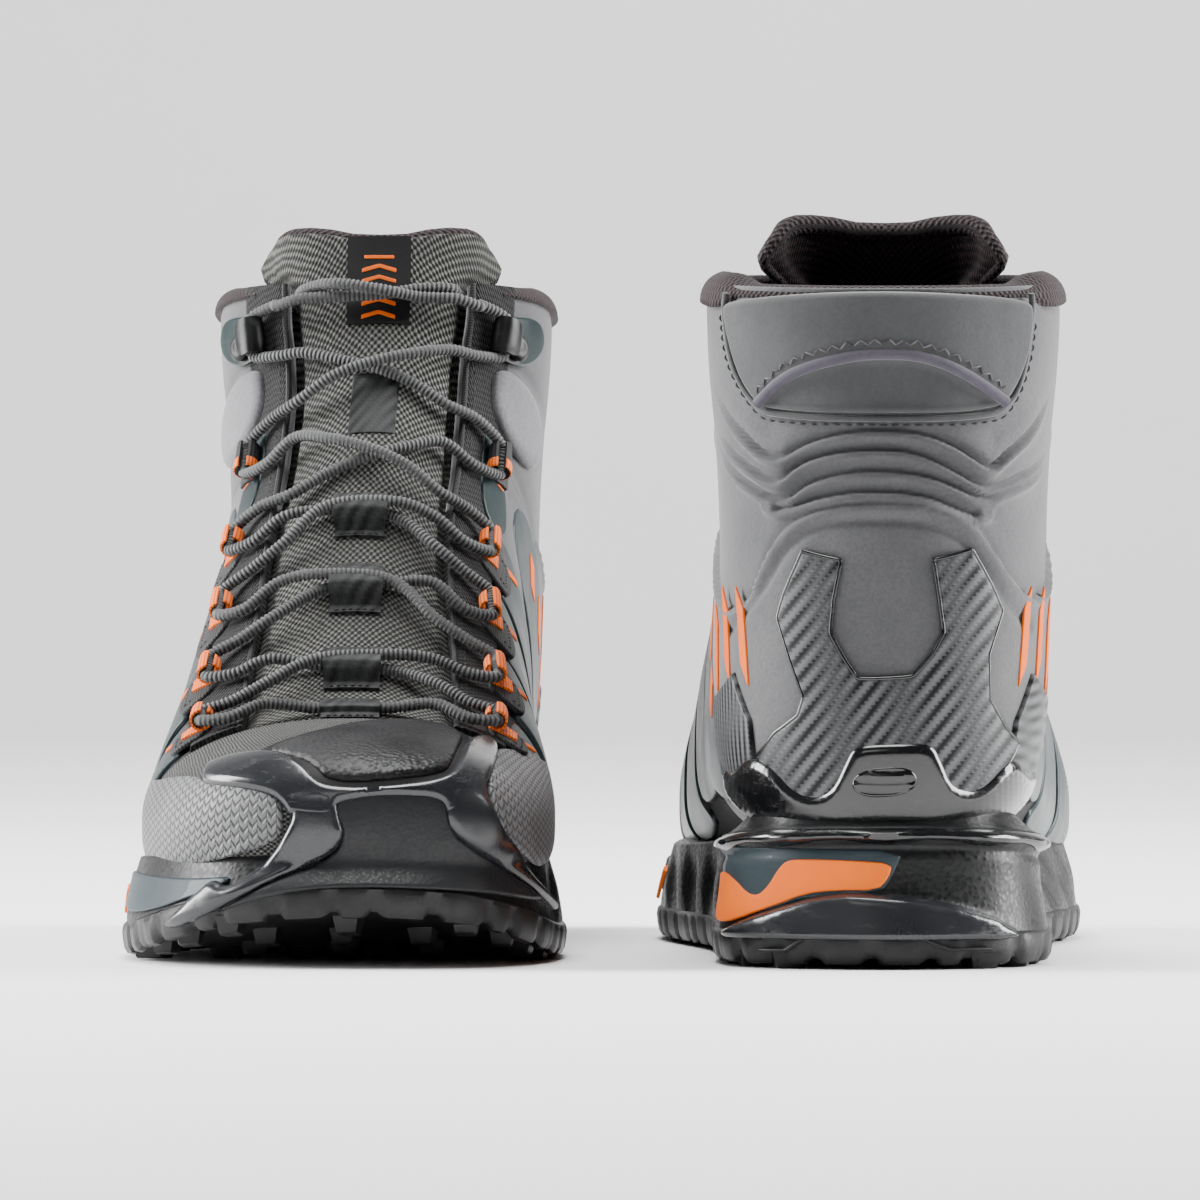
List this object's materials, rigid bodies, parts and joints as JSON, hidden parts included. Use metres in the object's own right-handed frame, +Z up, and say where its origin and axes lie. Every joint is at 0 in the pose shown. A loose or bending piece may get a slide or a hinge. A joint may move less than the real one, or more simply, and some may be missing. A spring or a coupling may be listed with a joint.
{
  "type": "pair of hiking boots",
  "caption": "Pair of laced mid-cut hiking boots with lugged soles, toe bumpers, webbing and hook lacing, padded collars and tongues that fold back",
  "frame": {"origin": "middle of the footprint of the pair, on the ground", "axes": "+Z up; the right boot stands at -X with its toe to -Y, the left boot at +X with its toe to +Y; +X is the big-toe side of both"},
  "size_m": [0.2552, 0.304, 0.1946],
  "materials": {
    "outsole_rubber": "satin black rubber with moulded grain",
    "midsole_foam": "dark moulded foam with a fine pebble grain",
    "orange_foam": "orange moulded foam",
    "shank_plastic": "glass-filled nylon",
    "board_fibre": "pressed fibre board",
    "footbed_fabric": "knit top cloth on foam",
    "gloss_tpu": "glossy black moulded plastic",
    "toe_tpu": "dark grey rubber film, satin",
    "scale_rand": "grey rubber with a raised scale pattern",
    "dark_mesh": "ribbed open mesh under a thin film",
    "teal_film": "teal-grey moulded film with orange edges",
    "grey_microfibre": "brushed grey microfibre",
    "carbon_film": "dark film with a diagonal twill relief",
    "collar_foam": "open-cell padding",
    "lining_mesh": "dark knitted lining",
    "bootie_membrane": "waterproof knit membrane",
    "black_film": "black moulded film",
    "tongue_mesh": "coarse woven grey mesh",
    "label_film": "black printed label",
    "gusset_stretch": "black stretch knit",
    "orange_webbing": "orange woven webbing",
    "black_webbing": "black woven webbing with an orange band",
    "hook_metal": "gunmetal plating",
    "rivet_metal": "gunmetal plating",
    "lace_cord": "round braided grey cord",
    "aglet_plastic": "clear-black sleeve"
  },
  "bodies": {
    "right_boot": {"right_outsole": "outsole_rubber", "right_midsole": "midsole_foam", "right_midsole_accent": "orange_foam", "right_shank": "shank_plastic", "right_lasting_board": "board_fibre", "right_footbed": "footbed_fabric", "right_heel_stabiliser": "gloss_tpu", "right_toe_bumper": "toe_tpu", "right_side_rand": "scale_rand", "right_vamp": "dark_mesh", "right_quarters": "dark_mesh", "right_quarter_overlays": "teal_film", "right_ankle_shell": "grey_microfibre", "right_heel_counter": "carbon_film", "right_pull_flap": "grey_microfibre", "right_collar_foam": "collar_foam", "right_collar_lining": "lining_mesh", "right_bootie_lining": "bootie_membrane", "right_eyestays": "black_film", "right_tongue_lower": "tongue_mesh", "right_lace_keepers": "carbon_film", "right_tongue_gusset": "gusset_stretch", "right_lace_loops": "orange_webbing", "right_ankle_loops": "black_webbing", "right_lace_hooks": "hook_metal", "right_hook_rivets": "rivet_metal", "right_laces": "lace_cord", "right_aglets": "aglet_plastic"},
    "right_tongue_top": {"right_tongue_upper": "tongue_mesh", "right_tongue_label": "label_film"},
    "left_boot": {"left_outsole": "outsole_rubber", "left_midsole": "midsole_foam", "left_midsole_accent": "orange_foam", "left_shank": "shank_plastic", "left_lasting_board": "board_fibre", "left_footbed": "footbed_fabric", "left_heel_stabiliser": "gloss_tpu", "left_toe_bumper": "toe_tpu", "left_side_rand": "scale_rand", "left_vamp": "dark_mesh", "left_quarters": "dark_mesh", "left_quarter_overlays": "teal_film", "left_ankle_shell": "grey_microfibre", "left_heel_counter": "carbon_film", "left_pull_flap": "grey_microfibre", "left_collar_foam": "collar_foam", "left_collar_lining": "lining_mesh", "left_bootie_lining": "bootie_membrane", "left_eyestays": "black_film", "left_tongue_lower": "tongue_mesh", "left_lace_keepers": "carbon_film", "left_tongue_gusset": "gusset_stretch", "left_lace_loops": "orange_webbing", "left_ankle_loops": "black_webbing", "left_lace_hooks": "hook_metal", "left_hook_rivets": "rivet_metal", "left_laces": "lace_cord", "left_aglets": "aglet_plastic"},
    "left_tongue_top": {"left_tongue_upper": "tongue_mesh", "left_tongue_label": "label_film"}
  },
  "joints": [
    {"name": "left_boot_lift", "type": "slide", "parent": "right_boot", "child": "left_boot", "axis": [0, 0, 1], "range_m": [0, 0.25]},
    {"name": "right_tongue_fold", "type": "hinge", "parent": "right_boot", "child": "right_tongue_top", "pos_m": [-0.0651, -0.006, 0.12], "axis": [-1, 0, 0], "range_deg": [0, 8], "stiffness_Nm_per_rad": 0.3},
    {"name": "left_tongue_fold", "type": "hinge", "parent": "left_boot", "child": "left_tongue_top", "pos_m": [0.0729, 0.006, 0.12], "axis": [1, 0, 0], "range_deg": [0, 8], "stiffness_Nm_per_rad": 0.3}
  ]
}
